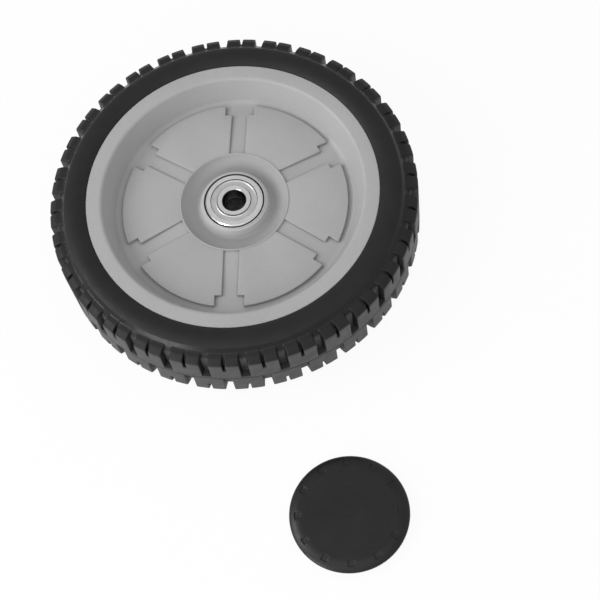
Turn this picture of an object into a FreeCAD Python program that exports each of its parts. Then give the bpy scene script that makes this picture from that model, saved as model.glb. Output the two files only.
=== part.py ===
import FreeCAD, Part
import math
import os

# Lawn mower wheel, lying on its back with the outer face up, and its hub cap lying beside it.
# Frame: origin at the wheel's centre, on the axle's axis and half way across the tyre.
# +Z is the axle's axis, out of the face that looks away from the mower. +X is along a spoke channel.
# Every length is in millimetres and every angle in degrees.

# Tyre
tyre_radius = 101.6          # 8 in wheel
tyre_half_width = 22.2       # 1.75 in section
crown_half_width = 15.1      # flat part of the tread
lug_edge_radius = 101.2      # where a lug's bevel meets the tread's rounding
lug_edge_height = 16.5
lug_corner_radius = 101.5    # middle of that rounding
lug_corner_height = 15.83
lug_bevel_depth = 2.9        # how far below that edge the bevel begins
lug_face_radius = lug_edge_radius - lug_bevel_depth
lug_face_height = 18.5       # where a lug's flat end face meets its bevel
lug_start_radius = 94.7      # where the lugs' end faces begin, at the foot of the shoulder
lug_start_height = 18.9
shoulder_radius = 92.8       # where the smooth sidewall ends
shoulder_height = 20.95
sidewall_peak_radius = 87.52
groove_floor_radius = 97.4
groove_floor_height = 13.6   # where a groove's floor begins to turn in to the shoulder
groove_turn_radius = 97.09   # middle of that turn
groove_turn_height = 15.55
groove_ramp_radius = 96.2    # where the turn meets the straight ramp up to the shoulder
groove_ramp_height = 17.3
groove_end_floor = 2.2       # inner end of a wide groove, at its floor and at the tread
groove_end_crown = 1.3
groove_width_inner = 1.6     # wide groove's two widths, at cut_inner_radius and outside the tread
groove_width_outer = 5.7
slit_floor_radius = 98.8
slit_floor_height = 14.8
slit_start_radius = 95.3     # where a slit runs out on a lug's end face
slit_start_height = 18.82
slit_end_floor = 11.2
slit_end_crown = 9.4
slit_width_inner = 1.2
slit_width_outer = 1.9
cut_inner_radius = 90.0
pitch_count = 30             # wide grooves round each half of the tread
centre_line_width = 1.2      # shallow moulding line round the middle of the tread
centre_line_depth = 0.5

# Rim, which the tyre is moulded round
rim_half_width = 20.2
rim_edge_radius = 80.9
rim_seat_radius = 77.0
rim_seat_half_width = 12.5
rim_flange_inside = 15.8
rim_bore_radius = 73.2       # inside of the rim's barrel, at the back
rim_bore_mouth = 73.8
tyre_gap = 0.05              # tyre to rim

# Dished web of the hub
band_inner_radius = 72.6     # inner edge of the flat band at the front
band_corner = 2.6            # rounding of that edge
dish_foot_radius = 66.0
dish_fillet = 3.0            # rounding of the dish wall's foot
web_front = 5.2              # at the dish wall's foot
web_front_inner = 8.3        # at the lip round the recess
web_back = 1.6
dish_wall = 3.8

# Raised panels between the spoke channels. Their tops rise towards the middle.
spoke_count = 6
panel_top_outer = 7.3
panel_top_inner = 9.4
panel_outer_radius = 62.9
panel_inner_radius = 30.2
channel_width = 8.6
channel_head_width = 16.2
channel_head_radius = 56.3

# Lip, recess and bearing collar at the centre
lip_outer_radius = 30.6
lip_outer_height = 9.0
lip_radius = 29.85
lip_top = 9.75
recess_mouth_radius = 29.3
recess_mouth_height = 8.9
recess_wall_radius = 27.2    # middle of the recess's curved wall
recess_wall_height = 6.1
recess_foot_radius = 22.4
recess_floor = 4.7
collar_foot_radius = 20.2
collar_top_radius = 18.2
collar_top = 10.0
barrel_radius = 20.6

# Ribs behind the web
rib_thickness = 3.0
rib_depth_inner = -18.5
rib_depth_outer = -16.0

# Ball bearings, 12.7 x 32 x 10
bore_radius = 6.35
bearing_radius = 16.0
bearing_width = 10.0
front_face = 10.6            # outer face of the front bearing
hub_length = 31.75           # over both bearings
bearing_seat_gap = 0.02
seat_shoulder_radius = 13.9
ball_radius = 2.9765
ball_pitch_radius = 11.0
ball_count = 7
race_gap = 0.04              # ball to race
race_radius = 3.07           # groove's section
outer_land_radius = 12.6
inner_land_radius = 9.2
ring_chamfer = 0.6
shield_seat_radius = 13.1
shield_thickness = 0.45
shield_recess = 0.4
shield_inner_radius = 9.55
shield_gap = 0.02
cage_inner_radius = 9.7
cage_outer_radius = 12.1
cage_bottom = -3.75          # from the bearing's middle
cage_top = 1.5
cage_pocket_gap = 0.1
spacer_radius = 9.0

# Hub cap
cap_radius = 31.5
cap_face_radius = 25.0       # flat middle of the cap
cap_edge_height = 1.6        # upright edge, below the rounded shoulder
cap_shoulder_height = 2.4
cap_shoulder_round = 10.0
cap_dome = 0.3
cap_wall = 2.0
cap_skirt_thickness = 1.8
cap_fit_gap = 0.25           # skirt to the recess when the cap is on
cap_notch_count = 12         # shallow notches round the shoulder
cap_notch_inner = 25.2
cap_notch_outer = 28.6
cap_notch_depth = 0.5
cap_notch_angle = 7.0
cap_place_x = -28.4
cap_place_y = -179.9

AXIS = FreeCAD.Vector(0, 0, 1)
ORIGIN = FreeCAD.Vector(0, 0, 0)


def at(radius, height):
    return FreeCAD.Vector(radius, 0, height)


def profile(*steps):
    """Closed face in the XZ plane. A step is a point, or two points for an arc through one to the other."""
    here = steps[0]
    edges = []
    for step in steps[1:] + steps[:1]:
        if isinstance(step, tuple):
            edges.append(Part.Arc(here, step[0], step[1]).toShape())
            here = step[1]
        else:
            if here.distanceToPoint(step) > 1e-6:
                edges.append(Part.makeLine(here, step))
            here = step
    return Part.Face(Part.Wire(edges))


def turned(face, angle=360.0):
    return face.revolve(ORIGIN, AXIS, angle)


def spun(shape, angle):
    copy = shape.copy()
    copy.rotate(ORIGIN, AXIS, angle)
    return copy


def raised(shape, height):
    copy = shape.copy()
    copy.translate(FreeCAD.Vector(0, 0, height))
    return copy


def flipped(shape):
    """The same piece turned over end for end about the X axis."""
    copy = shape.copy()
    copy.rotate(ORIGIN, FreeCAD.Vector(1, 0, 0), 180)
    return copy


def ring(inner, outer, low, high):
    return turned(profile(at(inner, low), at(outer, low), at(outer, high), at(inner, high)))


def arc_middle(centre, start, end):
    """Point half way along the short arc about centre from start to end."""
    reach = start.distanceToPoint(centre)
    middle = (start + end) * 0.5 - centre
    return centre + middle * (reach / middle.Length)


# Tyre: a smooth casing with the full tread, out of which the grooves and slits are cut.
seat = rim_seat_radius + tyre_gap
edge = rim_edge_radius + tyre_gap
casing = profile(
    at(seat, -rim_seat_half_width),
    at(edge, -rim_flange_inside),
    at(edge, -rim_half_width),
    (at(sidewall_peak_radius, -tyre_half_width), at(shoulder_radius, -shoulder_height)),
    at(lug_start_radius, -lug_start_height),
    at(lug_face_radius, -lug_face_height),
    at(lug_edge_radius, -lug_edge_height),
    (at(lug_corner_radius, -lug_corner_height), at(tyre_radius, -crown_half_width)),
    at(tyre_radius, crown_half_width),
    (at(lug_corner_radius, lug_corner_height), at(lug_edge_radius, lug_edge_height)),
    at(lug_face_radius, lug_face_height),
    at(lug_start_radius, lug_start_height),
    at(shoulder_radius, shoulder_height),
    (at(sidewall_peak_radius, tyre_half_width), at(edge, rim_half_width)),
    at(edge, rim_flange_inside),
    at(seat, rim_seat_half_width),
)
tyre = turned(casing)

outside = tyre_radius + 2
above = tyre_half_width + 2
groove_face = profile(
    at(lug_start_radius, lug_start_height),
    at(lug_start_radius, above),
    at(outside, above),
    at(outside, groove_end_crown),
    at(tyre_radius, groove_end_crown),
    at(groove_floor_radius, groove_end_floor),
    at(groove_floor_radius, groove_floor_height),
    (at(groove_turn_radius, groove_turn_height), at(groove_ramp_radius, groove_ramp_height)),
)
slit_face = profile(
    at(slit_start_radius, slit_start_height),
    at(slit_start_radius, above),
    at(outside, above),
    at(outside, slit_end_crown),
    at(tyre_radius, slit_end_crown),
    at(slit_floor_radius, slit_end_floor),
    at(slit_floor_radius, slit_floor_height),
)
pitch = 360.0 / pitch_count


def tapered(face, inner_width, outer_width):
    """Cutter with the face for its section along the radius, and sides that open outwards."""
    corners = [
        FreeCAD.Vector(cut_inner_radius, -inner_width / 2, 0),
        FreeCAD.Vector(outside, -outer_width / 2, 0),
        FreeCAD.Vector(outside + 1, 0, 0),
        FreeCAD.Vector(outside, outer_width / 2, 0),
        FreeCAD.Vector(cut_inner_radius, inner_width / 2, 0),
    ]
    plan = Part.Face(Part.makePolygon(corners + corners[:1]))
    sides = plan.extrude(FreeCAD.Vector(0, 0, above))
    return spun(turned(face, pitch / 2), -pitch / 4).common(sides)


groove = tapered(groove_face, groove_width_inner, groove_width_outer)
slit = tapered(slit_face, slit_width_inner, slit_width_outer)
cuts = []
for step in range(pitch_count):
    # Front half: a slit on each pitch line and a wide groove between. The back half is half a pitch off.
    cuts.append(spun(slit, step * pitch))
    cuts.append(spun(groove, (step + 0.5) * pitch))
    cuts.append(spun(flipped(groove), step * pitch))
    cuts.append(spun(flipped(slit), (step + 0.5) * pitch))
line_half = centre_line_width / 2
line_face = profile(
    at(outside, -line_half),
    at(outside, line_half),
    at(tyre_radius, line_half),
    at(tyre_radius - centre_line_depth, 0),
    at(tyre_radius, -line_half),
)
tyre = tyre.cut(cuts + [turned(line_face)])

# Hub: rim, dish, web, lip, recess, collar and barrel are one moulding, turned from one section.
front_seat_floor = front_face - bearing_width
back_face = front_face - hub_length
back_seat_floor = back_face + bearing_width
seat_radius = bearing_radius + bearing_seat_gap
wall_run = band_inner_radius - dish_foot_radius
wall_rise = rim_half_width - web_front
wall_length = math.hypot(wall_run, wall_rise)
back_shift_r = dish_wall * wall_rise / wall_length
back_shift_z = dish_wall * wall_run / wall_length
slope = wall_run / wall_rise
dish_back_foot = dish_foot_radius + back_shift_r - (web_front - back_shift_z - web_back) * slope
dish_back_top = web_back + (rim_bore_radius - dish_back_foot) / slope

# The band's corner is rounded by an arc that leaves flat and wall at the same distance from their corner.
wall_step = at(wall_run / wall_length, wall_rise / wall_length)
corner_flat = at(band_inner_radius + band_corner, rim_half_width)
corner_wall = at(band_inner_radius, rim_half_width) - wall_step * band_corner
corner_turn = math.pi / 2 + math.atan2(wall_run, wall_rise)
corner_reach = band_corner * math.tan(corner_turn / 2)
corner_middle = arc_middle(at(corner_flat.x, rim_half_width - corner_reach), corner_flat, corner_wall)

# The dish wall's foot runs into the web in the same way.
foot_flat = at(dish_foot_radius - dish_fillet, web_front)
foot_wall = at(dish_foot_radius, web_front) + wall_step * dish_fillet
foot_reach = dish_fillet * math.tan(corner_turn / 2)
foot_middle = arc_middle(at(foot_flat.x, web_front + foot_reach), foot_flat, foot_wall)

section = profile(
    at(seat_radius, collar_top),
    at(collar_top_radius, collar_top),
    at(collar_foot_radius, recess_floor),
    at(recess_foot_radius, recess_floor),
    (at(recess_wall_radius, recess_wall_height), at(recess_mouth_radius, recess_mouth_height)),
    (at(lip_radius, lip_top), at(lip_outer_radius, lip_outer_height)),
    at(lip_outer_radius, web_front_inner),
    foot_flat,
    (foot_middle, foot_wall),
    corner_wall,
    (corner_middle, corner_flat),
    at(rim_edge_radius, rim_half_width),
    at(rim_edge_radius, rim_flange_inside),
    at(rim_seat_radius, rim_seat_half_width),
    at(rim_seat_radius, -rim_seat_half_width),
    at(rim_edge_radius, -rim_flange_inside),
    at(rim_edge_radius, -rim_half_width),
    at(rim_bore_mouth, -rim_half_width),
    at(rim_bore_radius, dish_back_top),
    at(dish_back_foot, web_back),
    at(barrel_radius, web_back),
    at(barrel_radius, back_face + 0.3),
    at(seat_radius, back_face + 0.3),
    at(seat_radius, back_seat_floor),
    at(seat_shoulder_radius, back_seat_floor),
    at(seat_shoulder_radius, front_seat_floor),
    at(seat_radius, front_seat_floor),
)
hub = turned(section)

# Raised panels: a ring, less the T-shaped channels that run out along each spoke.
panels = turned(profile(
    at(panel_inner_radius, web_front_inner - 0.5),
    at(panel_outer_radius, web_front - 0.5),
    at(panel_outer_radius, panel_top_outer),
    at(panel_inner_radius, panel_top_inner),
))
channel_height = panel_top_inner - web_front + 2
channel = Part.makeBox(rim_seat_radius, channel_width, channel_height)
channel.translate(FreeCAD.Vector(0, -channel_width / 2, web_front - 1))
head = Part.makeBox(rim_seat_radius, channel_head_width, channel_height)
head.translate(FreeCAD.Vector(channel_head_radius, -channel_head_width / 2, web_front - 1))
tee = channel.fuse(head)
spoke_angles = [360.0 / spoke_count * step for step in range(spoke_count)]
panels = panels.cut([spun(tee, angle) for angle in spoke_angles])

# Radial ribs behind the web, in line with the channels.
rib_inner = seat_radius + 2
rib_outer = rim_bore_radius + 2
rib_face = profile(
    at(rib_inner, rib_depth_inner),
    at(rib_outer, rib_depth_outer),
    at(rib_outer, dish_back_top + 1.0),
    at(rim_bore_radius + 0.4, dish_back_top + 1.0),
    at(dish_back_foot + 0.6, web_back + 1.2),
    at(rib_inner, web_back + 1.2),
)
rib = rib_face.extrude(FreeCAD.Vector(0, rib_thickness, 0))
rib.translate(FreeCAD.Vector(0, -rib_thickness / 2, 0))
hub = hub.fuse([panels] + [spun(rib, angle) for angle in spoke_angles]).removeSplitter()

# Ball bearing, made about its own middle and then set at each end of the hub.
half = bearing_width / 2
shield_out = half - shield_recess
shield_in = shield_out - shield_thickness


def race_arc(centre_radius, land_radius, side):
    """Groove's half height at the land, and its deepest point. side: +1 on the outer ring, -1 on the inner."""
    offset = abs(land_radius - centre_radius)
    return math.sqrt(race_radius ** 2 - offset ** 2), centre_radius + side * race_radius


outer_centre = ball_pitch_radius + ball_radius + race_gap - race_radius
outer_reach, outer_bottom = race_arc(outer_centre, outer_land_radius, 1)
outer_ring = turned(profile(
    at(bearing_radius, -half + ring_chamfer),
    at(bearing_radius, half - ring_chamfer),
    at(bearing_radius - ring_chamfer, half),
    at(shield_seat_radius, half),
    at(shield_seat_radius, shield_in),
    at(outer_land_radius, shield_in),
    at(outer_land_radius, outer_reach),
    (at(outer_bottom, 0), at(outer_land_radius, -outer_reach)),
    at(outer_land_radius, -shield_in),
    at(shield_seat_radius, -shield_in),
    at(shield_seat_radius, -half),
    at(bearing_radius - ring_chamfer, -half),
))
inner_centre = ball_pitch_radius - ball_radius - race_gap + race_radius
inner_reach, inner_bottom = race_arc(inner_centre, inner_land_radius, -1)
inner_ring = turned(profile(
    at(bore_radius, -half + ring_chamfer),
    at(bore_radius + ring_chamfer, -half),
    at(inner_land_radius, -half),
    at(inner_land_radius, -inner_reach),
    (at(inner_bottom, 0), at(inner_land_radius, inner_reach)),
    at(inner_land_radius, half),
    at(bore_radius + ring_chamfer, half),
    at(bore_radius, half - ring_chamfer),
))
shield = ring(shield_inner_radius, shield_seat_radius - shield_gap, shield_in + shield_gap, shield_out)
cage = ring(cage_inner_radius, cage_outer_radius, cage_bottom, cage_top)
ball_angles = [360.0 / ball_count * step for step in range(ball_count)]
ball = Part.makeSphere(ball_radius, FreeCAD.Vector(ball_pitch_radius, 0, 0))
pocket = Part.makeSphere(ball_radius + cage_pocket_gap, FreeCAD.Vector(ball_pitch_radius, 0, 0))
cage = cage.cut([spun(pocket, angle) for angle in ball_angles])

# Spacer tube that keeps the two inner rings apart.
spacer = ring(bore_radius, spacer_radius, back_seat_floor, front_seat_floor)

# Hub cap: a flat disc with a rounded, notched shoulder, and a tapered skirt that sits in the hub's recess.
skirt_depth = lip_top - recess_wall_height - cap_fit_gap
recess_slope = (recess_mouth_radius - recess_wall_radius) / (recess_mouth_height - recess_wall_height)
skirt_bottom = recess_wall_radius - cap_fit_gap
skirt_top = skirt_bottom + skirt_depth * recess_slope
skirt_inside = skirt_bottom - cap_skirt_thickness
cap_edge_top = skirt_depth + cap_edge_height
cap_face = cap_edge_top + cap_shoulder_height
shoulder_centre = at(cap_face_radius, cap_face - cap_shoulder_round)


def shoulder_point(radius):
    rise = math.sqrt(cap_shoulder_round ** 2 - (radius - cap_face_radius) ** 2)
    return at(radius, shoulder_centre.z + rise)


shoulder_end = shoulder_point(cap_radius)
shoulder_middle = arc_middle(shoulder_centre, at(cap_face_radius, cap_face), shoulder_end)
cap = turned(profile(
    at(0, cap_face + cap_dome - cap_wall),
    at(0, cap_face + cap_dome),
    at(cap_face_radius, cap_face),
    (shoulder_middle, shoulder_end),
    at(cap_radius, skirt_depth),
    at(skirt_top, skirt_depth),
    at(skirt_bottom, 0),
    at(skirt_inside, 0),
    at(skirt_inside, cap_face - cap_wall),
))
notch_face = profile(
    shoulder_point(cap_notch_inner) - at(0, cap_notch_depth),
    shoulder_point(cap_notch_outer) - at(0, cap_notch_depth),
    at(cap_notch_outer, cap_face + 1),
    at(cap_notch_inner, cap_face + 1),
)
notch = turned(notch_face, cap_notch_angle)
cap = cap.cut([spun(notch, 360.0 / cap_notch_count * step) for step in range(cap_notch_count)])
cap.translate(FreeCAD.Vector(cap_place_x, cap_place_y, -tyre_half_width))

nodes = {
    "wheel_hub": hub,
    "tyre": tyre,
    "bearing_spacer": spacer,
    "hub_cap": cap,
}
front_middle = front_face - half
back_middle = back_face + half
for end, middle, place in (
    ("front", front_middle, lambda shape: raised(shape, front_middle)),
    ("back", back_middle, lambda shape: raised(flipped(shape), back_middle)),
):
    nodes[end + "_outer_ring"] = place(outer_ring)
    nodes[end + "_inner_ring"] = place(inner_ring)
    nodes[end + "_cage"] = place(cage)
    nodes[end + "_outside_shield"] = place(shield)
    nodes[end + "_inside_shield"] = place(flipped(shield))
    for number, angle in enumerate(ball_angles, 1):
        nodes[end + "_ball_%d" % number] = place(spun(ball, angle))

os.makedirs("parts", exist_ok=True)
for name, shape in nodes.items():
    solids = shape.Solids
    assert len(solids) == 1 and solids[0].isValid(), name
    solids[0].exportStep("parts/" + name + ".step")
    box = shape.BoundBox
    print(name, "volume %.1f mm3" % shape.Volume, "z %.2f to %.2f" % (box.ZMin, box.ZMax))
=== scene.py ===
# %% [markdown]
# A lawn mower wheel, from frame to finish
# The engineering frame gives every piece its size, its place and its motion. This lesson gives the pieces
# their looks: lug edges as soft as rubber, panel edges that catch a thin line of light, satin plastic,
# ground steel, and a camera at the photograph's angle. The frame's own meshes could be coloured as they
# are, but their sharp edges would look cut from card, so all pieces but the bearing rings and the spacer
# are modelled again at the same size.

# %% Load the frame
import bmesh
import bpy
import math
from bisect import bisect_right
from mathutils import Matrix, Vector


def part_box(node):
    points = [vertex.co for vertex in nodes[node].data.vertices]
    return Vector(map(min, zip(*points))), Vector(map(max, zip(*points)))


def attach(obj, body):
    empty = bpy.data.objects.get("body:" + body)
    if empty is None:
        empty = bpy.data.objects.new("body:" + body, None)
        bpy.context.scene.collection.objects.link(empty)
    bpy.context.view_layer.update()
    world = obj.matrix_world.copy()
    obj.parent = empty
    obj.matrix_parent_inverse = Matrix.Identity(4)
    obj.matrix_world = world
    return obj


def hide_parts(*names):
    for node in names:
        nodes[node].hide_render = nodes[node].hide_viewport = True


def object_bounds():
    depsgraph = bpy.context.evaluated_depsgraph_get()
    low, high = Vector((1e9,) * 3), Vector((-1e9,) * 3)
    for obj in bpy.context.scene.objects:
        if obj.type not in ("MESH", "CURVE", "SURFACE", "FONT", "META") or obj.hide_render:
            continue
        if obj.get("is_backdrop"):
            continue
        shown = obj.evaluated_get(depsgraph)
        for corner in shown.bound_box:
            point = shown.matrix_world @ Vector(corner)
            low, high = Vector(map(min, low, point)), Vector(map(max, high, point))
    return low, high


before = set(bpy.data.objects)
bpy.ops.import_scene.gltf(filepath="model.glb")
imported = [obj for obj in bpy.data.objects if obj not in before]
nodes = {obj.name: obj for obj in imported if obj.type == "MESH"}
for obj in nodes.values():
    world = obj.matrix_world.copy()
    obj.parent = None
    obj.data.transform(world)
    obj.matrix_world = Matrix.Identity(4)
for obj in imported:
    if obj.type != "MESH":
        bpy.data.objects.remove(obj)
cad_low, cad_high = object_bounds()

# %% [markdown]
# Working by hand, in code
# A mesh could be typed in as a list of points, but the operators that a hand would use in the window are
# easier to learn from. An operator acts on everything that is selected, and the frame arrives selected.
# So each piece starts on a cleared table, and only the piece in hand is taken up again. Sizes are written
# in millimetres, as on a workshop drawing, and become metres where a point is placed.

# %% A cleared table, and one piece in hand
MM = 0.001


def clear_table():
    if bpy.context.object is not None and bpy.context.object.mode != "OBJECT":
        bpy.ops.object.mode_set(mode="OBJECT")
    bpy.ops.object.select_all(action="DESELECT")


def take(piece):
    clear_table()
    bpy.context.view_layer.objects.active = piece
    piece.select_set(True)


def edit(piece):
    """Edit mode on one piece, with all of it selected."""
    take(piece)
    bpy.ops.object.mode_set(mode="EDIT")
    bpy.ops.mesh.select_all(action="SELECT")


clear_table()
print("selected now:", len(bpy.context.selected_objects))

# %% [markdown]
# The tyre's section
# The tyre is one rubber moulding: smooth sidewalls, and two rows of lugs with a wide groove after each
# lug and a narrow slit in its middle. A lug and a groove differ only in their section, a cut through the
# tyre along the axle. So both sections are drawn first, from the front bead to the back one, with arcs
# where the rubber is round. They could be drawn apart, but as pairs of points they let any point of the
# tread be found later as a mix of the two.

# %% Straight lines and arcs


def straight(start, end, pieces):
    """Points from start to end on a line, both ends included."""
    a, b = Vector(start), Vector(end)
    return [a.lerp(b, step / pieces) for step in range(pieces + 1)]


def arc(start, middle, end, pieces):
    """Points from start to end on the circle through the three."""
    a, b, c = Vector(start), Vector(middle), Vector(end)
    ab, ac = b - a, c - a
    square_ab, square_ac = ab.length_squared, ac.length_squared
    offset = Vector((ac.y * square_ab - ab.y * square_ac, ab.x * square_ac - ac.x * square_ab))
    centre = a + offset / (2 * ab.cross(ac))
    sweep = (a - centre).angle_signed(c - centre)
    if sweep * (a - centre).angle_signed(b - centre) < 0:
        sweep -= math.copysign(math.tau, sweep)
    turns = [Matrix.Rotation(-sweep * step / pieces, 2) for step in range(pieces + 1)]
    return [centre + turn @ (a - centre) for turn in turns]


quarter = arc((1, 0), (math.sqrt(0.5), math.sqrt(0.5)), (0, 1), pieces=2)
print("a quarter circle in two steps:", [tuple(round(v, 3) for v in point) for point in quarter])

# %% Sidewall and lug
# A point is a distance from the axle and a height above the wheel's middle plane.
tyre_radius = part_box("tyre")[1].x / MM
tyre_half_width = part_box("tyre")[1].z / MM
bead, sidewall_peak, shoulder = (80.95, 20.2), (87.52, tyre_half_width), (92.8, 20.95)
lug_foot = (94.7, 18.9)
lug_face_end, lug_face_turn, bevel_start = (97.7, 18.55), (98.3, 18.38), (98.8, 18.08)
bevel_end, lug_corner, crown_edge = (101.1, 16.52), (101.45, 15.95), (tyre_radius, 15.1)
crown_start, groove_end = (tyre_radius, 13.4), (tyre_radius, 1.3)
ledge_shares = (0.15, 0.9)
crown_pieces = 6

sidewall = arc(bead, sidewall_peak, shoulder, pieces=12)
sidewall += [Vector(shoulder).lerp(Vector(lug_foot), share) for share in ledge_shares]
lug_line = straight(lug_foot, lug_face_end, pieces=3)
lug_line += arc(lug_face_end, lug_face_turn, bevel_start, pieces=2)[1:]
lug_line += straight(bevel_start, bevel_end, pieces=3)[1:]
lug_line += arc(bevel_end, lug_corner, crown_edge, pieces=3)[1:]
crown_line = straight(crown_start, groove_end, crown_pieces)
print("sidewall:", len(sidewall), "points, lug:", len(lug_line + crown_line), "points")

# %% Groove, and the whole section
groove_floor = 97.4
ramp_end, groove_turn, floor_start = (96.2, 17.28), (97.1, 15.65), (groove_floor, 13.3)
floor_middle, floor_end = (groove_floor, 11.9), (groove_floor, 2.4)
floor_share = 0.4
middle_line_half, middle_line_depth = 0.6, 0.5
seat = ((80.95, -15.8), (77.05, -12.5), (77.05, 12.5), (80.95, 15.8))

groove_line = straight(lug_foot, ramp_end, pieces=3)
groove_line += arc(ramp_end, groove_turn, floor_start, pieces=7)[1:]
groove_line.append(Vector(floor_start).lerp(Vector(floor_middle), floor_share))
groove_line += straight(floor_middle, floor_end, crown_pieces)
line_edge = Vector((tyre_radius, middle_line_half))
line_floor = Vector((tyre_radius - middle_line_depth, 0))
front_rows = [(point, point) for point in sidewall]
front_rows += list(zip(lug_line + crown_line, groove_line))
front_rows.append((line_edge, line_edge))
back_rows = [[Vector((point.x, -point.y)) for point in pair] for pair in reversed(front_rows)]
hidden_rows = [(Vector(point), Vector(point)) for point in (*seat, bead)]
section_rows = front_rows + [(line_floor, line_floor)] + back_rows + hidden_rows
along = [0.0]
for (last, _), (lug, _) in zip(section_rows, section_rows[1:]):
    along.append(along[-1] + (lug - last).length)
print("section:", len(section_rows), "rows,", round(along[-1], 1), "mm round")

# %% [markdown]
# The tread, modelled flat
# Sixty grooves could be cut from a round body with a Boolean, but that leaves ragged edges that no bevel
# can follow. A tread is easier to model the way it is drawn, as a flat strip one pitch long. The grooves
# are pressed into the strip with Extrude, their rims are softened with Bevel, and the finished strip is
# wrapped over the section and copied round the wheel. The bevels come before the wrap, while every edge
# is still straight.

# %% The flat strip: one pitch of tread
pitch_count = 30
pitch_width = math.tau * tyre_radius / pitch_count
groove_half, slit_half = 2.55, 0.9
columns = [-pitch_width / 4]
for middle in (0, pitch_width / 2):
    columns += [middle - groove_half, middle - slit_half, middle + slit_half, middle + groove_half]
    columns.append(middle + pitch_width / 4)
clear_table()
bpy.ops.mesh.primitive_grid_add(x_subdivisions=len(columns) - 1, y_subdivisions=len(section_rows) - 1)
tyre = bpy.context.object
tyre.name = "tyre_moulding"
tyre.data.name = "tyre_moulding"
for vertex in tyre.data.vertices:
    row, column = divmod(vertex.index, len(columns))
    vertex.co = (columns[column] * MM, along[row] * MM, 0)
print("strip:", round(pitch_width, 2), "mm by", round(along[-1], 1), "mm")

# %% Press the grooves and slits
# A hair is a difference that only rounding can make.
hair = 0.001


def pick(piece, kind, wanted):
    """In edit mode, selects the edges or faces for which wanted(part) is true, and gives their count."""
    bpy.ops.mesh.select_mode(type=kind)
    bpy.ops.mesh.select_all(action="DESELECT")
    mesh = bmesh.from_edit_mesh(piece.data)
    chosen = [part for part in (mesh.edges if kind == "EDGE" else mesh.faces) if wanted(part)]
    for part in chosen:
        part.select_set(True)
    bmesh.update_edit_mesh(piece.data)
    return len(chosen)


def press(middle, half, rows, depth, shares):
    """Presses the faces between two rows. Shares are the floor's part of the width and of the length."""
    low, high = sorted(along[row] * MM for row in rows)

    def in_cut(face):
        centre = face.calc_center_median()
        return abs(centre.x - middle * MM) < half * MM and low < centre.y < high and centre.z > -hair * MM

    count = pick(tyre, "FACE", in_cut)
    bpy.ops.mesh.extrude_region_move(TRANSFORM_OT_translate={"value": (0, 0, -depth * MM)})
    outer_end = (middle * MM, along[rows[0]] * MM, 0)
    bpy.ops.transform.resize(value=(*shares, 1), center_override=outer_end)
    print("pressed", count, "faces by", round(depth, 2), "mm")


groove_depth, slit_depth = tyre_radius - groove_floor, 2.8
groove_shares, slit_shares = (0.74, 1.0), (0.72, 0.92)
shoulder_row = len(sidewall)
slit_end_row = shoulder_row + len(lug_line) + 2
groove_end_row = len(front_rows) - 2
middle_row = len(front_rows)
groove_rows, slit_rows = (shoulder_row, groove_end_row), (shoulder_row, slit_end_row)
edit(tyre)
press(pitch_width / 2, groove_half, groove_rows, groove_depth, groove_shares)
press(0, slit_half, slit_rows, slit_depth, slit_shares)
press(0, groove_half, [2 * middle_row - row for row in groove_rows], groove_depth, groove_shares)
press(pitch_width / 2, slit_half, [2 * middle_row - row for row in slit_rows], slit_depth, slit_shares)

# %% Soften the pocket corners, the floors and the rims
corner_rounding, floor_rounding, rim_rounding = 0.5, 0.4, 0.5
shallowest_floor, flattest_wall, wall_end_reach = 1.5, 0.8, 2.0
inner_rows = (groove_end_row, slit_end_row)
wall_ends = [along[row] * MM for end in inner_rows for row in (end, 2 * middle_row - end)]


def on_top(vertex):
    return abs(vertex.co.z) < hair * MM


def on_wall(edge):
    """Whether the edge has a wall on one side and a flat face on the other."""
    walls = [abs(face.normal.z) < flattest_wall for face in edge.link_faces]
    return any(walls) and not all(walls)


def pocket_corner(edge):
    top, bottom = sorted(edge.verts, key=lambda vertex: -vertex.co.z)
    at_wall_end = any(abs(top.co.y - end) < hair * MM for end in wall_ends)
    return on_top(top) and not on_top(bottom) and at_wall_end


def floor_edge(edge):
    return all(vertex.co.z < -shallowest_floor * MM for vertex in edge.verts) and on_wall(edge)


def rim_edge(edge):
    side = abs(edge.verts[0].co.y - edge.verts[1].co.y) > hair * MM
    inner_end = any(abs(edge.verts[0].co.y - end) < wall_end_reach * MM for end in wall_ends)
    return all(on_top(vertex) for vertex in edge.verts) and on_wall(edge) and (side or inner_end)


for wanted, rounding, pieces in ((pocket_corner, corner_rounding, 3), (floor_edge, floor_rounding, 2),
                                 (rim_edge, rim_rounding, 3)):
    print(wanted.__name__ + ":", pick(tyre, "EDGE", wanted), "edges")
    bpy.ops.mesh.bevel(offset=rounding * MM, segments=pieces, affect="EDGES")
bpy.ops.object.mode_set(mode="OBJECT")

# %% Wrap the strip over the section


def section_at(place):
    """The section's lug point and groove point at a place along the strip."""
    row = max(0, min(len(along) - 2, bisect_right(along, place) - 1))
    share = (place - along[row]) / (along[row + 1] - along[row])
    (lug, groove), (next_lug, next_groove) = section_rows[row], section_rows[row + 1]
    return lug.lerp(next_lug, share), groove.lerp(next_groove, share)


for vertex in tyre.data.vertices:
    lug, groove = section_at(vertex.co.y / MM)
    point = lug.lerp(groove, -vertex.co.z / MM / groove_depth) * MM
    turn = vertex.co.x / MM / tyre_radius
    vertex.co = (point.x * math.cos(turn), point.x * math.sin(turn), point.y)
print("wrapped", len(tyre.data.vertices), "points")

# %% Copy it round the wheel, and close the seams
merge_distance = 0.004


def copy_round(count):
    """In edit mode, copies what is selected to fill the turn about the axle with so many copies in all."""
    turn = math.tau * (count - 1) / count
    bpy.ops.mesh.spin(steps=count - 1, dupli=True, angle=turn, center=(0, 0, 0), axis=(0, 0, 1))


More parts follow.
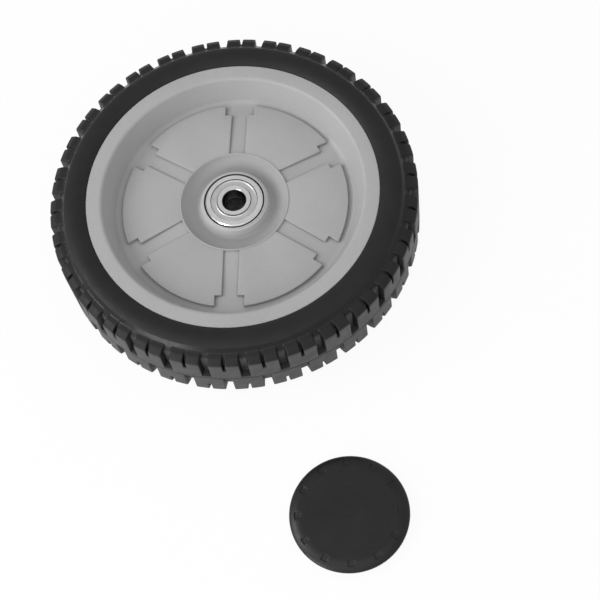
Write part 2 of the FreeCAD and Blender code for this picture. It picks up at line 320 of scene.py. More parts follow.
def close_up(piece):
    """Merges points that meet, drops loose edges and turns every face outwards."""
    edit(piece)
    bpy.ops.mesh.remove_doubles(threshold=merge_distance * MM)
    bpy.ops.mesh.delete_loose()
    bpy.ops.mesh.select_all(action="SELECT")
    bpy.ops.mesh.normals_make_consistent(inside=False)
    bpy.ops.object.mode_set(mode="OBJECT")


def smooth(piece, degrees):
    take(piece)
    bpy.ops.object.shade_smooth_by_angle(angle=math.radians(degrees))
    triangles = sum(len(face.vertices) - 2 for face in piece.data.polygons)
    print(piece.name + ":", triangles, "triangles")


edit(tyre)
copy_round(pitch_count)
close_up(tyre)
smooth(tyre, degrees=50)
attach(tyre, "wheel")
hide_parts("tyre")

# %% [markdown]
# The hub's turned body
# The hub is one plastic moulding, and its front is most of the picture: a flat band, a steep dish, six
# raised panels with channels between them, and a bowl round the bearing where the cap sits. Most of it is
# round, so it begins as half of a cut through its middle and is swept round the axle. The cut could be a
# chain of straight corners with a Bevel modifier afterwards, but that gives one radius everywhere. A
# drawing gives each corner its own rounding, and so does this outline: an edge with no radius never
# catches the light.

# %% Corners with roundings


def rounded(corners, step):
    """Points of a closed outline, arcs in steps of degrees. A corner is (across, height, rounding)."""
    points = []
    for number, (across, height, rounding) in enumerate(corners):
        corner = Vector((across, height))
        if rounding == 0:
            points.append(corner)
            continue
        to_last = (Vector(corners[number - 1][:2]) - corner).normalized()
        to_next = (Vector(corners[(number + 1) % len(corners)][:2]) - corner).normalized()
        opening = to_last.angle(to_next)
        centre = corner + (to_last + to_next).normalized() * (rounding / math.sin(opening / 2))
        start = corner + to_last * (rounding / math.tan(opening / 2)) - centre
        turn = math.copysign(math.pi - opening, -to_last.cross(to_next))
        pieces = max(2, math.ceil(abs(math.degrees(turn)) / step))
        turns = [Matrix.Rotation(turn * piece / pieces, 2) for piece in range(pieces + 1)]
        points += [centre + part_turn @ start for part_turn in turns]
    return points


square = [(0, 0, 1), (9, 0, 1), (9, 9, 1), (0, 9, 1)]
print("a square with four round corners has", len(rounded(square, step=45)), "points")

# %% The lathe


def ring_of_points(name, points):
    """A closed chain of points in the upright plane through the axle."""
    clear_table()
    bpy.ops.mesh.primitive_circle_add(vertices=len(points), radius=MM, fill_type="NOTHING")
    piece = bpy.context.object
    piece.name = name
    piece.data.name = name
    for vertex, point in zip(piece.data.vertices, points):
        vertex.co = (point.x * MM, 0, point.y * MM)
    return piece


def turned(name, points, steps):
    """Sweeps the outline once round the axle, and merges the start with the end."""
    piece = ring_of_points(name, points)
    edit(piece)
    bpy.ops.mesh.spin(steps=steps, angle=math.tau, center=(0, 0, 0), axis=(0, 0, 1))
    close_up(piece)
    return piece


print("lathe ready")

# %% Turn the hub
hub_front, hub_back = 20.2, -20.85
web_foot, web_middle, web_back = 5.2, 8.3, 1.6
bore, barrel, seat_foot = 16.02, 20.6, 0.6
collar_top, bowl_floor, lip_top = 10.0, 4.7, 9.75
gap_outside, gap_floor = 16.7, 7.8
front_gap = [(bore, gap_floor, 0), (gap_outside, gap_floor, 0.1), (gap_outside + 0.1, collar_top, 0.1)]
collar = [(17.4, collar_top, 0.2), (17.55, 9.45, 0.1), (18.45, 9.3, 0.3)]
bowl = [(20.2, bowl_floor, 0.5), (27.6, bowl_floor, 6.4), (29.64, lip_top, 0.4), (30.4, lip_top, 0.4)]
dish = [(30.62, web_middle, 0.3), (63.0, web_foot, 2.0), (66.0, web_foot, 3.6), (72.4, hub_front, 2.3)]
rim = [(80.9, hub_front, 0.5), (80.9, 15.8, 0), (77.0, 12.5, 0)]
back_rim = [(77.0, -12.5, 0), (80.9, -15.8, 0), (80.9, -hub_front, 0.5), (73.8, -hub_front, 0.8)]
back_web = [(73.2, 12.1, 1.2), (68.57, web_back, 2.0), (barrel, web_back, 2.0), (barrel, hub_back, 0.6)]
back_seat = [(bore, hub_back, 0.4), (bore, -11.15, 0), (13.9, -11.15, 0.3)]
front_seat = [(13.9, seat_foot, 0.3), (bore, seat_foot, 0)]
front_corners = front_gap + collar + bowl + dish + rim
hub_outline = rounded(front_corners + back_rim + back_web + back_seat + front_seat, step=11)
hub = turned("hub_moulding", hub_outline, steps=240)
print("hub outline:", len(hub_outline), "points")

# %% [markdown]
# Panels and ribs
# Six low panels stiffen the web in front, and six ribs brace it behind. On the real tool they are flat
# pockets, cut to one drawing and repeated. They could be raised from the turned faces with Inset, but the
# channels run across those faces. So one panel and one rib are drawn flat, extruded, bevelled and copied,
# and a Boolean makes one solid of them all.

# %% The plan of one panel
spoke_count = 6
spoke_turn = math.tau / spoke_count
channel_half, head_half, head_radius = 4.3, 8.1, 56.3
panel_inner, panel_outer = 30.2, 62.9


def on_side(half, radius):
    """The point at this radius on a channel's side, half a channel's width from its middle line."""
    return Vector((math.sqrt(radius ** 2 - half ** 2), half))


def round_axle(start, end, pieces):
    """Points strictly between two points at one radius, on the circle about the axle."""
    turn = math.atan2(end.y, end.x) - math.atan2(start.y, start.x)
    return [Matrix.Rotation(turn * step / pieces, 2) @ start for step in range(1, pieces)]


near_side = [on_side(channel_half, panel_inner), Vector((head_radius, channel_half)),
             Vector((head_radius, head_half)), on_side(head_half, panel_outer)]
far_side = [Matrix.Rotation(spoke_turn, 2) @ Vector((point.x, -point.y)) for point in reversed(near_side)]
panel_plan = near_side + round_axle(near_side[-1], far_side[0], pieces=24)
panel_plan += far_side + round_axle(far_side[-1], near_side[0], pieces=10)
print("panel plan:", len(panel_plan), "points")

# %% One panel, extruded, sloped and bevelled, and five copies
panel_foot, panel_top_outer, panel_top_inner = 4.4, 7.3, 9.4
panel_edge, first_lift = 0.45, 1.0
slope = (panel_top_inner - panel_top_outer) / (panel_outer - panel_inner)
clear_table()
bpy.ops.mesh.primitive_circle_add(vertices=len(panel_plan), radius=MM, fill_type="NGON")
panels = bpy.context.object
for vertex, point in zip(panels.data.vertices, panel_plan):
    vertex.co = (point.x * MM, point.y * MM, panel_foot * MM)
edit(panels)
bpy.ops.mesh.extrude_region_move(TRANSFORM_OT_translate={"value": (0, 0, first_lift * MM)})
mesh = bmesh.from_edit_mesh(panels.data)
for vertex in mesh.verts:
    if vertex.co.z > (panel_foot + first_lift / 2) * MM:
        vertex.co.z = (panel_top_outer + slope * (panel_outer - vertex.co.xy.length / MM)) * MM
bmesh.update_edit_mesh(panels.data)


def panel_top_edge(edge):
    return all(vertex.co.z > (panel_foot + first_lift) * MM for vertex in edge.verts)


print("panel edges:", pick(panels, "EDGE", panel_top_edge))
bpy.ops.mesh.bevel(offset=panel_edge * MM, segments=3, affect="EDGES")
bpy.ops.mesh.select_all(action="SELECT")
copy_round(spoke_count)
close_up(panels)

# %% One rib, extruded and bevelled, and five copies
rib_half, rib_rounding, rib_back_level = 1.5, 0.6, -15.0
rib_outline = [(18.0, 2.8), (18.0, -18.5), (75.2, -16.0), (75.2, 13.1), (73.6, 13.1), (69.2, 2.8)]
ribs = ring_of_points("ribs", [Vector(point) for point in rib_outline])
edit(ribs)
bpy.ops.mesh.edge_face_add()
bpy.ops.transform.translate(value=(0, -rib_half * MM, 0))
bpy.ops.mesh.extrude_region_move(TRANSFORM_OT_translate={"value": (0, 2 * rib_half * MM, 0)})


def rib_back_edge(edge):
    runs_across = abs(edge.verts[0].co.y - edge.verts[1].co.y) > hair * MM
    return all(vertex.co.z < rib_back_level * MM for vertex in edge.verts) and not runs_across


print("rib edges:", pick(ribs, "EDGE", rib_back_edge))
bpy.ops.mesh.bevel(offset=rib_rounding * MM, segments=3, affect="EDGES")
bpy.ops.mesh.select_all(action="SELECT")
copy_round(spoke_count)
close_up(ribs)

# %% Make one moulding of them


def combine(piece, other, operation):
    """Joins another piece to this one, or cuts it away, and removes the other from the table."""
    take(piece)
    boolean = piece.modifiers.new(operation.title(), "BOOLEAN")
    boolean.operation = operation
    boolean.solver = "EXACT"
    boolean.object = other
    bpy.ops.object.modifier_apply(modifier=boolean.name)
    bpy.data.objects.remove(other)


for other in (panels, ribs):
    combine(hub, other, "UNION")
close_up(hub)
smooth(hub, degrees=32)
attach(hub, "wheel")
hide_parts("wheel_hub")

# %% [markdown]
# The hub cap
# The cap lies beside the wheel, ready to press into the bowl. It is a thin moulding: a flat face, a
# rounded shoulder with shallow notches round it, a straight edge, and a skirt underneath. It comes off
# the same lathe. The notches could be cut with twelve small blocks, but the lathe has already divided the
# shoulder into faces, so those at the right angle are picked and pressed in.

# %% Turn the cap
cap_low, cap_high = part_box("hub_cap")
cap_radius = (cap_high.x - cap_low.x) / 2 / MM
cap_height = (cap_high.z - cap_low.z) / MM
cap_face_radius, cap_face, cap_ceiling, cap_flange = 25.0, 7.4, 5.4, 3.4
skirt_top, skirt_bottom, skirt_inside = 29.5, 26.95, 25.15
shoulder_round, shoulder_end = 10.0, 30.6
face_bend, face_fall, face_rim = 12.0, 0.1, 0.6
edge_turn, edge_height = (31.3, 5.05), 4.4
notch_inner, notch_outer = 25.2, 28.6


def on_shoulder(radius):
    drop = shoulder_round - math.sqrt(shoulder_round ** 2 - (radius - cap_face_radius) ** 2)
    return Vector((radius, cap_face - drop))


face_line = [Vector((0, cap_height)), Vector((face_bend, cap_height - face_fall))]
face_line.append(Vector((cap_face_radius - face_rim, cap_face)))
shoulder_radii = (notch_inner, 26.3, 27.4, notch_outer, 29.4, 30.1, shoulder_end)
shoulder_line = [on_shoulder(radius) for radius in shoulder_radii]
edge_line = arc(on_shoulder(shoulder_end), edge_turn, (cap_radius, edge_height), pieces=3)[1:]
under = rounded([
    (cap_radius, cap_flange, 0.4),
    (skirt_top, cap_flange, 0.2),
    (skirt_bottom, 0, 0.4),
    (skirt_inside, 0, 0.4),
    (skirt_inside, cap_ceiling, 0.8),
    (0, cap_ceiling + 0.3, 0),
], step=14)
cap = turned("hub_cap_moulding", face_line + shoulder_line + edge_line + under, steps=144)
print("cap:", round(2 * cap_radius, 1), "mm across,", round(cap_height, 1), "mm high")

# %% Press its notches, and lay it in its place
notch_depth, notch_count, notch_turn, notch_rounding = 0.5, 12, 7.5, 0.2
least_rise, rim_slack, rim_angle, rim_rise = 0.4, 0.2, 50, 0.3


def in_notch(face):
    centre = face.calc_center_median()
    turn = math.degrees(math.atan2(centre.y, centre.x)) % (360 / notch_count)
    inside = notch_inner < centre.xy.length / MM < notch_outer
    return face.normal.z > least_rise and inside and turn < notch_turn


def notch_rim(edge):
    a, b = edge.link_faces[0].normal, edge.link_faces[-1].normal
    low, high = notch_inner - rim_slack, notch_outer + rim_slack
    inside = all(low < vertex.co.xy.length / MM < high for vertex in edge.verts)
    return inside and a.angle(b) > math.radians(rim_angle) and a.z + b.z > rim_rise


edit(cap)
print("notch faces:", pick(cap, "FACE", in_notch))
bpy.ops.mesh.extrude_region_shrink_fatten(TRANSFORM_OT_shrink_fatten={"value": -notch_depth * MM})
print("notch rims:", pick(cap, "EDGE", notch_rim))
bpy.ops.mesh.bevel(offset=notch_rounding * MM, segments=2, affect="EDGES")
bpy.ops.object.mode_set(mode="OBJECT")
cap_place = Vector(((cap_low.x + cap_high.x) / 2, (cap_low.y + cap_high.y) / 2, cap_low.z))
cap.data.transform(Matrix.Translation(cap_place))
smooth(cap, degrees=32)
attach(cap, "axle_sleeve")
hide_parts("hub_cap")

# %% [markdown]
# The bearing shields
# A shield is pressed from thin sheet: its outer edge is rolled into the outer ring, its middle is a step
# lower, and its inner edge is turned up beside the inner ring. Those steps draw the fine circles round
# the axle hole. A bump texture could draw them too, but it would be flat from the side, so each step is
# turned on the lathe.

# %% Press four shields
sheet_rise, sheet_step = 0.43, 0.2
shield_outline = rounded([
    (13.08, 0, 0),
    (13.08, 0.1, 0),
    (12.82, sheet_rise, 0.1),
    (12.3, sheet_rise, 0.12),
    (12.05, sheet_step, 0.08),
    (10.25, sheet_step, 0.08),
    (10.0, 0.4, 0.1),
    (9.55, 0.4, 0.08),
    (9.55, 0, 0),
], step=30)
shields = []
for end, outward in (("front", 1), ("back", -1)):
    for side, facing in (("outside", outward), ("inside", -outward)):
        node = end + "_" + side + "_shield"
        low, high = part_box(node)
        shield = turned(node + "_pressing", shield_outline, steps=120)
        if facing < 0:
            shield.data.transform(Matrix.Rotation(math.pi, 4, "X"))
        shield.data.transform(Matrix.Translation((0, 0, low.z if facing > 0 else high.z)))
        smooth(shield, degrees=40)
        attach(shield, "wheel")
        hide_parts(node)
        shields.append(shield)

# %% [markdown]
# Balls and cages
# Behind the shields of a bearing, seven balls run in a nylon cage, and each pocket of the cage is the
# hollow of a ball a little larger. They show only when a shield comes off. The frame's own meshes could
# stay, but their spheres end in slivers at the poles. An icosphere has no poles, so it makes the balls,
# and a larger one cuts the pockets out of a turned ring. The back bearing is the front one turned over,
# so its balls are counted the other way round.

# %% Grind fourteen balls
ball_count, ball_circle = 7, 11.0


def sphere(name, centre, radius):
    clear_table()
    bpy.ops.mesh.primitive_ico_sphere_add(subdivisions=4, radius=radius)
    piece = bpy.context.object
    piece.name = name
    piece.data.transform(Matrix.Translation(centre))
    return piece


balls, offsets = [], []
for end, way in (("front", 1), ("back", -1)):
    for number in range(ball_count):
        node = end + "_ball_" + str(number + 1)
        low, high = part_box(node)
        round_turn = Matrix.Rotation(way * math.tau * number / ball_count, 3, "Z")
        centre = round_turn @ Vector((ball_circle * MM, 0, (low.z + high.z) / 2))
        ball = sphere(node + "_ground", centre, (high.z - low.z) / 2)
        smooth(ball, degrees=60)
        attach(ball, node)
        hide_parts(node)
        balls.append(ball)
        offsets.append((centre - (low + high) / 2).length / MM)
print("balls:", len(balls), "within", round(max(offsets), 3), "mm of the frame's")

# %% Turn two cages and cut their pockets
cage_inside, cage_outside, cage_rounding = 9.7, 12.1, 0.15
pocket_radius = 3.0765
cages = []
for end in ("front", "back"):
    node = end + "_cage"
    low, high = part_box(node)
    ball_low, ball_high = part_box(end + "_ball_1")
    cage = turned(node + "_moulding", rounded([
        (cage_inside, low.z / MM, cage_rounding),
        (cage_outside, low.z / MM, cage_rounding),
        (cage_outside, high.z / MM, cage_rounding),
        (cage_inside, high.z / MM, cage_rounding),
    ], step=30), steps=140)
    centre = Vector((ball_circle * MM, 0, (ball_low.z + ball_high.z) / 2))
    pockets = sphere("pockets", centre, pocket_radius * MM)
    edit(pockets)
    copy_round(ball_count)
    combine(cage, pockets, "DIFFERENCE")
    close_up(cage)
    smooth(cage, degrees=40)
    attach(cage, node)
    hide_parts(node)
    cages.append(cage)

# %% [markdown]
# Finishes
# A finish is never one flat colour. Each material below starts from Blender's own surface shader, and
# small textures move its colour, its roughness and its relief by a little. A picture of a surface could
# do the same, but it stretches on a curved piece. These textures are worked out from Object coordinates,
# in metres, so a grain of half a millimetre stays half a millimetre on every piece.

# %% A finish, and the wiring of its nodes


def surface(finish):
    """The inputs of the finish's surface shader."""
    return finish.node_tree.nodes["Principled BSDF"].inputs


def new_finish(name, roughness, metallic=0.0):
    finish = bpy.data.materials.new(name)
    finish.use_nodes = True
    surface(finish)["Roughness"].default_value = roughness
    surface(finish)["Metallic"].default_value = metallic
    return finish


def add(finish, kind, **settings):
    node = finish.node_tree.nodes.new(kind)
    for name, value in settings.items():
        setattr(node, name, value)
    return node


def link(finish, source, target):
    finish.node_tree.links.new(source, target)


def feed(finish, name, value):
    """Joins a texture to an input of the surface shader."""
    link(finish, value, surface(finish)[name])


def place(finish):
    """Object coordinates, from one node that all textures of the finish share."""
    node = finish.node_tree.nodes.get("Place") or add(finish, "ShaderNodeTexCoord", name="Place")
    return node.outputs["Object"]


print("wiring ready")

# %% Grain, turning marks and blends
# Blender's rings lie this many metres apart at a scale of 1.
ring_step = math.tau / 20
ring_wobble = 0.3


def noise(finish, grain, detail):
    """Noise whose grains are about this many millimetres across."""
    node = add(finish, "ShaderNodeTexNoise")
    node.inputs["Scale"].default_value = 1 / (grain * MM)
    node.inputs["Detail"].default_value = detail
    link(finish, place(finish), node.inputs["Vector"])
    return node.outputs["Fac"]


def rings(finish, spacing):
    """Fine circles about the axle, this many millimetres apart and a little uneven."""
    node = add(finish, "ShaderNodeTexWave", wave_type="RINGS", rings_direction="Z")
    node.inputs["Scale"].default_value = ring_step / (spacing * MM)
    node.inputs["Distortion"].default_value = ring_wobble
    link(finish, place(finish), node.inputs["Vector"])
    return node.outputs["Fac"]


def ranged(finish, value, low, high, start=0.3, end=0.7):
    """Low where the value is at start, high where it is at end, and held beyond them."""
    node = add(finish, "ShaderNodeMapRange")
    for name, number in (("From Min", start), ("From Max", end), ("To Min", low), ("To Max", high)):
        node.inputs[name].default_value = number
    link(finish, value, node.inputs["Value"])
    return node.outputs["Result"]


def between(finish, value, first, second):
    """A colour between two, by a value from 0 to 1."""
    node = add(finish, "ShaderNodeMix", data_type="RGBA")
    for name, colour in (("A", first), ("B", second)):
        target = next(socket for socket in node.inputs if socket.name == name and socket.type == "RGBA")
        if isinstance(colour, bpy.types.NodeSocket):
            link(finish, colour, target)
        else:
            target.default_value = (*colour, 1)
    link(finish, value, node.inputs["Factor"])
    return next(socket for socket in node.outputs if socket.type == "RGBA")


print("textures ready")

# %% Places on the wheel


def joined(finish, operation, first, second):
    node = add(finish, "ShaderNodeMath", operation=operation)
    link(finish, first, node.inputs[0])
    link(finish, second, node.inputs[1])
    return node.outputs["Value"]


def from_axle(finish):
    """Distance from the axle, in metres."""
    flat = add(finish, "ShaderNodeVectorMath", operation="MULTIPLY")
    flat.inputs[1].default_value = (1, 1, 0)
    link(finish, place(finish), flat.inputs[0])
    length = add(finish, "ShaderNodeVectorMath", operation="LENGTH")
    link(finish, flat.outputs["Vector"], length.inputs[0])
    return length.outputs["Value"]


def from_middle(finish):
    """Distance from the wheel's middle plane, in metres."""
    parts = add(finish, "ShaderNodeSeparateXYZ")
    link(finish, place(finish), parts.inputs["Vector"])
    size = add(finish, "ShaderNodeMath", operation="ABSOLUTE")
    link(finish, parts.outputs["Z"], size.inputs[0])
    return size.outputs["Value"]


def open_to_air(finish, reach, closed, clear):
    """1 on open surfaces and 0 in corners, judged by what is closer than this many millimetres. The
    finishes use it to paint shade into corners.
    """
    node = add(finish, "ShaderNodeAmbientOcclusion", samples=8)
    node.inputs["Distance"].default_value = reach * MM
    return ranged(finish, node.outputs["AO"], 0, 1, closed, clear)


print("places ready")

# %% Relief, greys and dressing


def bump(finish, height, depth):
    """Relief this many millimetres deep. Further calls add to it."""
    node = add(finish, "ShaderNodeBump")
    node.inputs["Distance"].default_value = depth * MM
    link(finish, height, node.inputs["Height"])
    normal = surface(finish)["Normal"]
    if normal.is_linked:
        link(finish, normal.links[0].from_socket, node.inputs["Normal"])
    link(finish, node.outputs["Normal"], normal)


def grey(level):
    """The linear grey of a level from 0 to 255 on a screen, by the sRGB curve, with a trace of blue."""
    share = level / 255
    linear = share / 12.92 if share <= 0.04045 else ((share + 0.055) / 1.055) ** 2.4
    return (linear, linear, linear * 1.01)


def dress(piece, finish):
    """Puts the finish in every material slot of the piece, and adds a slot where there is none."""
    if not piece.material_slots:
        take(piece)
        bpy.ops.object.material_slot_add()
    for slot in piece.material_slots:
        slot.material = finish


print("mid grey on screen is", round(grey(128)[0], 3), "in light")

# %% [markdown]
# Grey hub plastic
# The hub is injection moulded from a mid grey plastic. Its colour is even, but the melt leaves faint
# cloudy flow marks and the tool leaves a fine matt grain. The bowl and the inside corners are painted a
# little darker, as painted shade, the collar is painted lighter, as a painted highlight, and the gap
# beside the bearing is painted nearly black, as a painted shadow. One noise could do for flow and grain,
# but they are of very different sizes, so each has its own.

# %% Grey hub plastic
seat_edge, collar_edge = (16.72 * MM, 16.92 * MM), (18.6 * MM, 20.4 * MM)
bowl_start, bowl_end = (19.9 * MM, 21.5 * MM), (23.0 * MM, 29.0 * MM)
hub_plastic = new_finish("hub_plastic_satin", roughness=0.5)
flow_marks = ranged(hub_plastic, noise(hub_plastic, grain=38, detail=2.0), 0, 1)
specks = ranged(hub_plastic, noise(hub_plastic, grain=0.9, detail=2.0), 0, 1)
speck_share = ranged(hub_plastic, noise(hub_plastic, grain=5, detail=2.0), 0.2, 0.4)
plain_grey = between(hub_plastic, speck_share, between(hub_plastic, flow_marks, grey(164), grey(172)),
                     between(hub_plastic, specks, grey(158), grey(174)))
reach = from_axle(hub_plastic)
# Painted shade: the bowl round the collar is painted darker.
bowl_shade = joined(hub_plastic, "MULTIPLY", ranged(hub_plastic, reach, 0, 1, *bowl_start),
                    ranged(hub_plastic, reach, 0.5, 0, *bowl_end))
shaded_grey = between(hub_plastic, bowl_shade, plain_grey, grey(116))
# Painted shade: corners that little air reaches are painted darker.
clear = open_to_air(hub_plastic, reach=2.5, closed=0.3, clear=0.85)
corner_shaded_grey = between(hub_plastic, clear, grey(124), shaded_grey)
# Painted highlight: the collar round the bearing is painted lighter.
collar_highlight = ranged(hub_plastic, reach, 0.45, 0, *collar_edge)
collar_grey = between(hub_plastic, collar_highlight, corner_shaded_grey, grey(200))
# Painted shadow: everything nearer the axle than the seat's edge, the gap beside the bearing included, is
# painted nearly black.
outside_seat = ranged(hub_plastic, reach, 0, 1, *seat_edge)
feed(hub_plastic, "Base Color", between(hub_plastic, outside_seat, grey(40), collar_grey))
feed(hub_plastic, "Roughness", ranged(hub_plastic, noise(hub_plastic, grain=7, detail=3.0), 0.42, 0.56))
bump(hub_plastic, noise(hub_plastic, grain=0.45, detail=2.0), depth=0.012)
bump(hub_plastic, noise(hub_plastic, grain=14, detail=1.0), depth=0.02)
dress(hub, hub_plastic)
print("dressed", hub.name)

# %% [markdown]
# Black tyre rubber
# Rubber is never quite black. The sidewall is smooth and dark. The tops of the lugs and the bottoms of the
# grooves are painted greyer, as painted light and a painted reflection of the floor, and the walls between
# the lugs are painted darkest, as painted shade. The ledge below the lugs comes smoother from the tool and
# shines a little. All this could be painted on by hand, but the tread's parts lie at known distances from
# the axle and from the middle plane, so those distances tell the material where to change.

# %% Black tyre rubber
crown_band, floor_band = (101.0 * MM, 101.4 * MM), (97.6 * MM, 98.0 * MM)
shoulder_band = (15.6 * MM, 16.8 * MM)
ledge_start, ledge_end = (92.4 * MM, 92.9 * MM), (95.0 * MM, 95.6 * MM)
rubber = new_finish("tyre_rubber_matt", roughness=0.5)
surface(rubber)["Specular IOR Level"].default_value = 0.3
reach = from_axle(rubber)
# Painted light and reflection: lug tops and groove floors, inside the shoulders, are painted a lighter
# grey.
crown = ranged(rubber, reach, 0, 1, *crown_band)
groove_bottom = ranged(rubber, reach, 1, 0, *floor_band)
inside_shoulder = ranged(rubber, from_middle(rubber), 1, 0, *shoulder_band)
painted_sheen_share = joined(rubber, "MULTIPLY", joined(rubber, "MAXIMUM", crown, groove_bottom), inside_shoulder)
cloud = ranged(rubber, noise(rubber, grain=9, detail=3.0), 0, 1)
# Painted shade: corners between the lugs are painted nearly black.
clear = open_to_air(rubber, reach=3.0, closed=0.35, clear=0.8)
black = between(rubber, clear, grey(10), between(rubber, cloud, grey(25), grey(30)))
painted_sheen_grey = between(rubber, cloud, grey(56), grey(70))
feed(rubber, "Base Color", between(rubber, painted_sheen_share, black, painted_sheen_grey))
ledge_polish = joined(rubber, "MULTIPLY", ranged(rubber, reach, 0, 0.24, *ledge_start),
                      ranged(rubber, reach, 1, 0, *ledge_end))
matt = ranged(rubber, noise(rubber, grain=4, detail=3.0), 0.46, 0.56)
feed(rubber, "Roughness", joined(rubber, "SUBTRACT", matt, ledge_polish))
bump(rubber, noise(rubber, grain=0.6, detail=3.0), depth=0.025)
bump(rubber, noise(rubber, grain=6, detail=1.0), depth=0.05)
dress(tyre, rubber)
print("dressed", tyre.name)

# %% [markdown]
# Black cap plastic
# The cap is a harder, slightly shinier black plastic than the tyre, with an even moulded grain. It could
# share the rubber's material, but the two blacks reflect light differently, and that is how the eye tells
# them apart.

# %% Black cap plastic
cap_plastic = new_finish("cap_plastic_satin", roughness=0.42)
surface(cap_plastic)["Specular IOR Level"].default_value = 0.38
cloud = ranged(cap_plastic, noise(cap_plastic, grain=12, detail=3.0), 0, 1)
feed(cap_plastic, "Base Color", between(cap_plastic, cloud, grey(20), grey(26)))
feed(cap_plastic, "Roughness", ranged(cap_plastic, noise(cap_plastic, grain=3, detail=3.0), 0.32, 0.42))
bump(cap_plastic, noise(cap_plastic, grain=0.5, detail=2.0), depth=0.02)
dress(cap, cap_plastic)
print("dressed", cap.name)

# %% [markdown]
# Steel and nylon
# Four steels meet round the axle: ground bearing rings, pressed shields, polished balls and a plain turned
# spacer. They are one recipe with other numbers. Grinding and turning leave fine circles about the axle,
# so circles carry the relief, a soft noise breaks up the shine, and the gaps between the parts and the
# bore are painted darker, as painted shade. The spacer's dark grey is painted shade too, so that the bore
# looks dark. The rings and the spacer keep the frame's own meshes, because their shape is right and only
# their surface is missing.

# %% Steel, ground, pressed, polished and turned
bore_edge = (6.5 * MM, 6.9 * MM)
stain_depth, gap_level, bore_level = 12, 40, 22


def steel(name, level, roughness, spacing, depth):
    low, high = roughness
    finish = new_finish(name, (low + high) / 2, 1.0)
    stain = ranged(finish, noise(finish, grain=6, detail=3.0), 0, 1)
    clean = between(finish, stain, grey(level - stain_depth), grey(level))
    # Painted shade: narrow gaps between the parts are painted darker, and the bore is painted nearly
    # black.
    gaps = between(finish, open_to_air(finish, reach=0.6, closed=0.25, clear=0.75), grey(gap_level), clean)
    outside_bore = ranged(finish, from_axle(finish), 0, 1, *bore_edge)
    feed(finish, "Base Color", between(finish, outside_bore, grey(bore_level), gaps))
    feed(finish, "Roughness", ranged(finish, noise(finish, grain=2.5, detail=3.0), low, high))
    bump(finish, rings(finish, spacing), depth)
    return finish


ring_steel = steel("bearing_steel_ground", level=242, roughness=(0.2, 0.32), spacing=0.22, depth=0.003)
shield_steel = steel("shield_steel_pressed", level=220, roughness=(0.28, 0.42), spacing=0.5, depth=0.002)
ball_steel = steel("ball_steel_polished", level=225, roughness=(0.05, 0.1), spacing=0.3, depth=0.0004)
# Painted shade: the spacer is painted dark grey, so that the bore looks dark.
spacer_steel = steel("spacer_steel_turned", level=60, roughness=(0.5, 0.65), spacing=0.35, depth=0.006)
print("four steels ready")

# %% Cage nylon, and the bearings dressed
nylon = new_finish("cage_nylon_natural", roughness=0.45)
cream = ranged(nylon, noise(nylon, grain=3, detail=3.0), 0, 1)
feed(nylon, "Base Color", between(nylon, cream, (0.6, 0.53, 0.4), (0.68, 0.62, 0.5)))
bump(nylon, noise(nylon, grain=0.3, detail=2.0), depth=0.01)
for shield in shields:
    dress(shield, shield_steel)
for ball in balls:
    dress(ball, ball_steel)
for cage in cages:
    dress(cage, nylon)
for name, node in nodes.items():
    if name.endswith("_ring"):
        dress(node, ring_steel)
dress(nodes["bearing_spacer"], spacer_steel)
print("dressed", len(shields), "shields,", len(balls), "balls and", len(cages), "cages")

# %% [markdown]
# Floor
# The wheel was photographed on a bright sheet that fades to white. More light on the floor would also
# bleach the wheel, so the sheet is a pale material, and most of what the lens and the shiny parts see of
# it is plain white. The small rest is lit like any surface, so a soft shadow stays under the wheel.

# %% The floor sheet
floor_size, white_share = 24.0, 0.93
floor_height = cad_low.z
clear_table()
bpy.ops.mesh.primitive_plane_add(size=floor_size)
floor = bpy.context.object
floor.name = "floor_sheet"
floor.data.transform(Matrix.Translation((0, 0, floor_height)))
sheet = new_finish("floor_white", roughness=0.9)
pale = ranged(sheet, noise(sheet, grain=300, detail=2.0), 0, 1)
feed(sheet, "Base Color", between(sheet, pale, grey(238), grey(242)))
rays = add(sheet, "ShaderNodeLightPath").outputs
mirrored = joined(sheet, "MAXIMUM", rays["Is Glossy Ray"], rays["Is Transmission Ray"])
seen = ranged(sheet, joined(sheet, "MAXIMUM", rays["Is Camera Ray"], mirrored), 0, white_share, 0, 1)
mix = add(sheet, "ShaderNodeMixShader")
link(sheet, seen, mix.inputs["Fac"])
link(sheet, sheet.node_tree.nodes["Principled BSDF"].outputs["BSDF"], mix.inputs[1])
link(sheet, add(sheet, "ShaderNodeEmission").outputs["Emission"], mix.inputs[2])
link(sheet, mix.outputs["Shader"], sheet.node_tree.nodes["Material Output"].inputs["Surface"])
dress(floor, sheet)
floor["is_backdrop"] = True
print("floor at", round(floor_height / MM, 2), "mm")

# %% [markdown]
# Camera
# The photograph looks down on the wheel from its lower left, with a long lens, and the frame is turned a
# little. A camera aimed with a Track To constraint would stand upright, so this one gets its three axes
# directly: where it looks, what is up, and the right hand that follows from both. Its place, its turn and
# its lens were fitted to the outlines of the rim, the tyre and the cap.

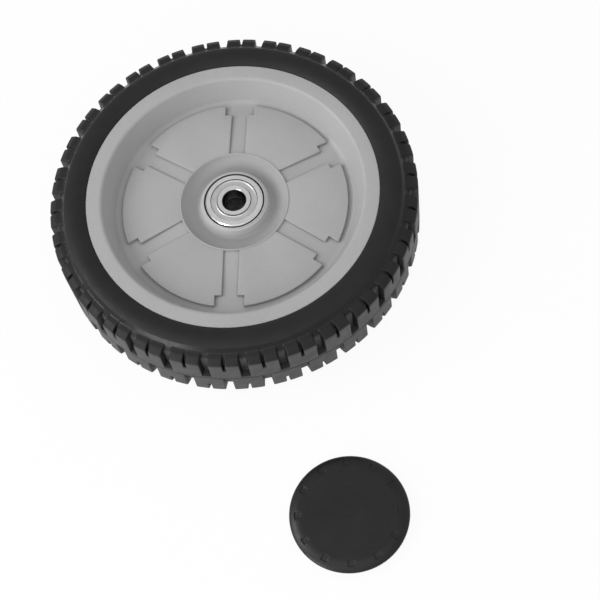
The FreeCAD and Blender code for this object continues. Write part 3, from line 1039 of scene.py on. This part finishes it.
# %% The camera
camera_data = bpy.data.cameras.new("photo_camera")
camera = bpy.data.objects.new("photo_camera", camera_data)
bpy.context.scene.collection.objects.link(camera)
camera_place = Vector((-100.657, -406.676, 762.445)) * MM
looking = Vector((0.12491, 0.40353, -0.90640)).normalized()
rough_up = Vector((0.46130, 0.78519, 0.41314))
to_right = looking.cross(rough_up).normalized()
axes = Matrix((to_right, to_right.cross(looking), -looking)).transposed().to_4x4()
camera.matrix_world = Matrix.Translation(camera_place) @ axes
camera_data.sensor_width = 36.0
camera_data.lens = 93.4
camera_data.clip_end = 40.0
bpy.context.scene.camera = camera
print("camera", round(camera_place.length, 3), "m from the wheel")

# %% [markdown]
# Light
# The light is plain and soft, at a level where a grey renders about as it is written. A single lamp
# overhead would leave the tread black. The lit faces of the lugs and the bright crescent on the cap look
# to the viewer's left, so the key lamp stands there, a lower lamp reaches the tread, a wide one fills
# from above, and an even sky does the rest.

# %% Three soft lamps and an even sky


def soft_lamp(name, towards, distance, size, watts):
    """A square soft lamp in the given direction from the wheel, facing it."""
    data = bpy.data.lights.new(name, "AREA")
    data.shape = "SQUARE"
    data.size = size
    data.energy = watts
    lamp = bpy.data.objects.new(name, data)
    bpy.context.scene.collection.objects.link(lamp)
    direction = Vector(towards).normalized()
    lamp.location = direction * distance
    lamp.rotation_euler = direction.to_track_quat("Z", "Y").to_euler()


soft_lamp("key_lamp", (-0.75, 0.24, 0.62), distance=1.3, size=0.65, watts=6.0)
soft_lamp("side_lamp", (-0.88, -0.38, 0.27), distance=1.3, size=0.55, watts=4.5)
soft_lamp("top_lamp", (-0.3, -0.42, 0.85), distance=1.5, size=1.6, watts=4.8)
world = bpy.data.worlds.new("studio")
bpy.context.scene.world = world
world.use_nodes = True
sky = world.node_tree.nodes["Background"].inputs
sky["Color"].default_value = (1, 1, 1, 1)
sky["Strength"].default_value = 0.6
bpy.context.scene.view_settings.view_transform = "Standard"

# %% [markdown]
# The box round it all
# The looks are meant to keep the wheel's size. That could be judged by eye, but no eye sees half a
# millimetre in a picture, so the box round everything shown is printed in millimetres.

# %% The size of what is shown
low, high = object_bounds()
print("visual box", [round(v / MM, 2) for v in (high - low)], "mm")
